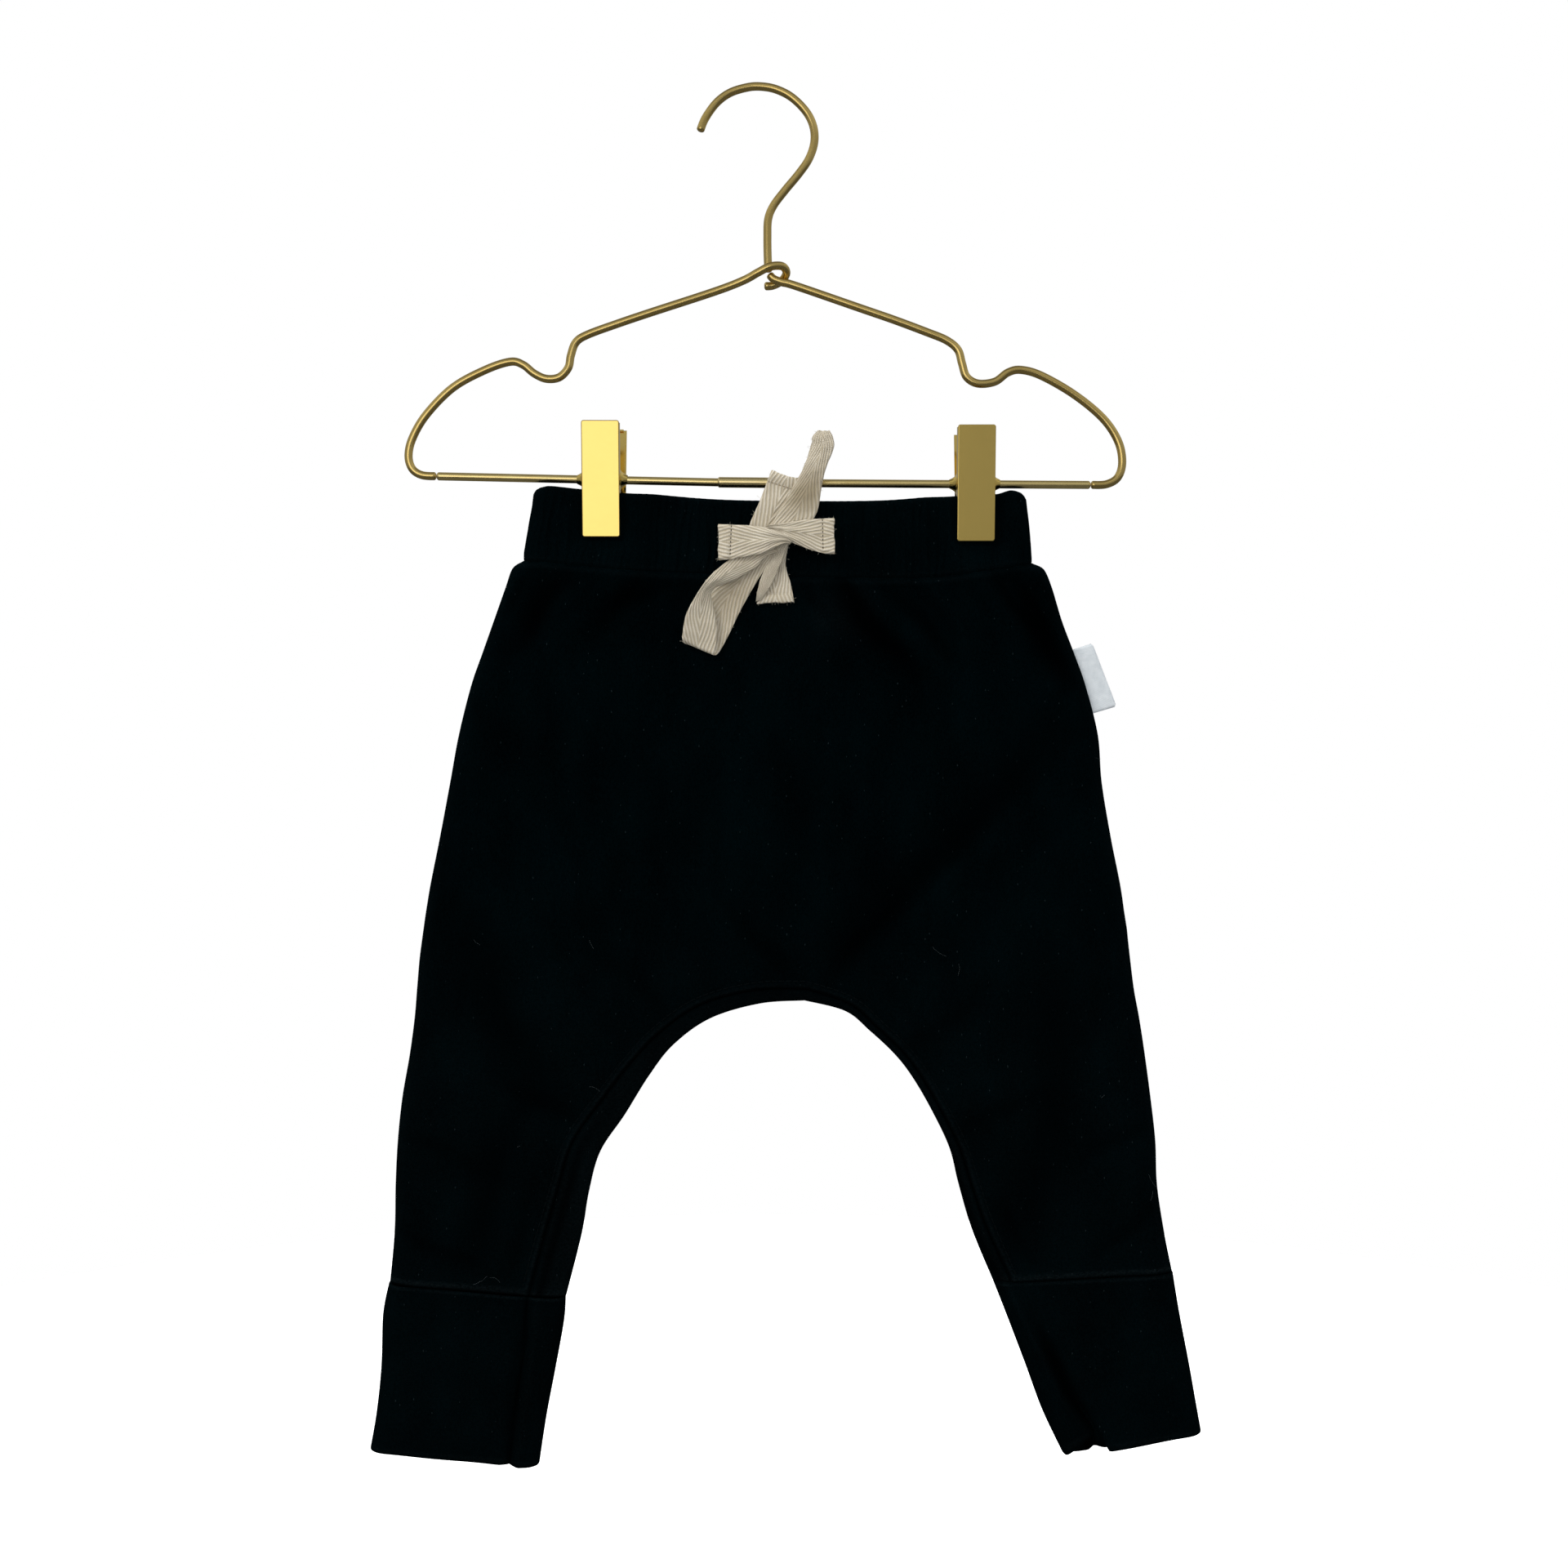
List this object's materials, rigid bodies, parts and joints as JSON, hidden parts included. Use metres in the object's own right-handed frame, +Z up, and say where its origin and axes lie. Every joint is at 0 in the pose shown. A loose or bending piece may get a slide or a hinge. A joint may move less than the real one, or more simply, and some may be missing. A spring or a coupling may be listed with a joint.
{
  "type": "baby joggers on a wire clip hanger",
  "caption": "Black knit baby joggers with a gathered waistband, folded cuffs and a tape bow, hung by the waist from a wire hanger with box clips.",
  "frame": {"origin": "on the rod that carries the hanger, at the underside of the hook's crown", "axes": "+Z up, -Y out of the garment's front, +X to the right seen from the front"},
  "size_m": [0.3454, 0.0264, 0.5747],
  "materials": {
    "black_knit": "matt cotton jersey with a short nap",
    "cream_tape": "herringbone twill tape",
    "white_satin": "woven satin",
    "satin_gold": "satin gold plate",
    "black_rubber": "matt"
  },
  "bodies": {
    "root": {"front_panel": "black_knit", "back_panel": "black_knit", "waistband": "black_knit", "left_cuff": "black_knit", "right_cuff": "black_knit", "side_label": "white_satin", "bow_tail_up": "cream_tape", "bow_loop_up": "cream_tape", "bow_loop_down": "cream_tape", "bow_tail_down": "cream_tape", "bow_tie_left": "cream_tape", "bow_tie_right": "cream_tape", "hook": "satin_gold", "shoulder_left": "satin_gold", "shoulder_right": "satin_gold", "bar_left": "satin_gold", "bar_right": "satin_gold", "bar_sleeve": "satin_gold", "clip_left_front_plate": "satin_gold", "clip_left_back_plate": "satin_gold", "clip_left_spring": "satin_gold", "clip_left_front_pad": "black_rubber", "clip_left_back_pad": "black_rubber", "clip_right_front_plate": "satin_gold", "clip_right_back_plate": "satin_gold", "clip_right_spring": "satin_gold", "clip_right_front_pad": "black_rubber", "clip_right_back_pad": "black_rubber"}
  },
  "joints": []
}
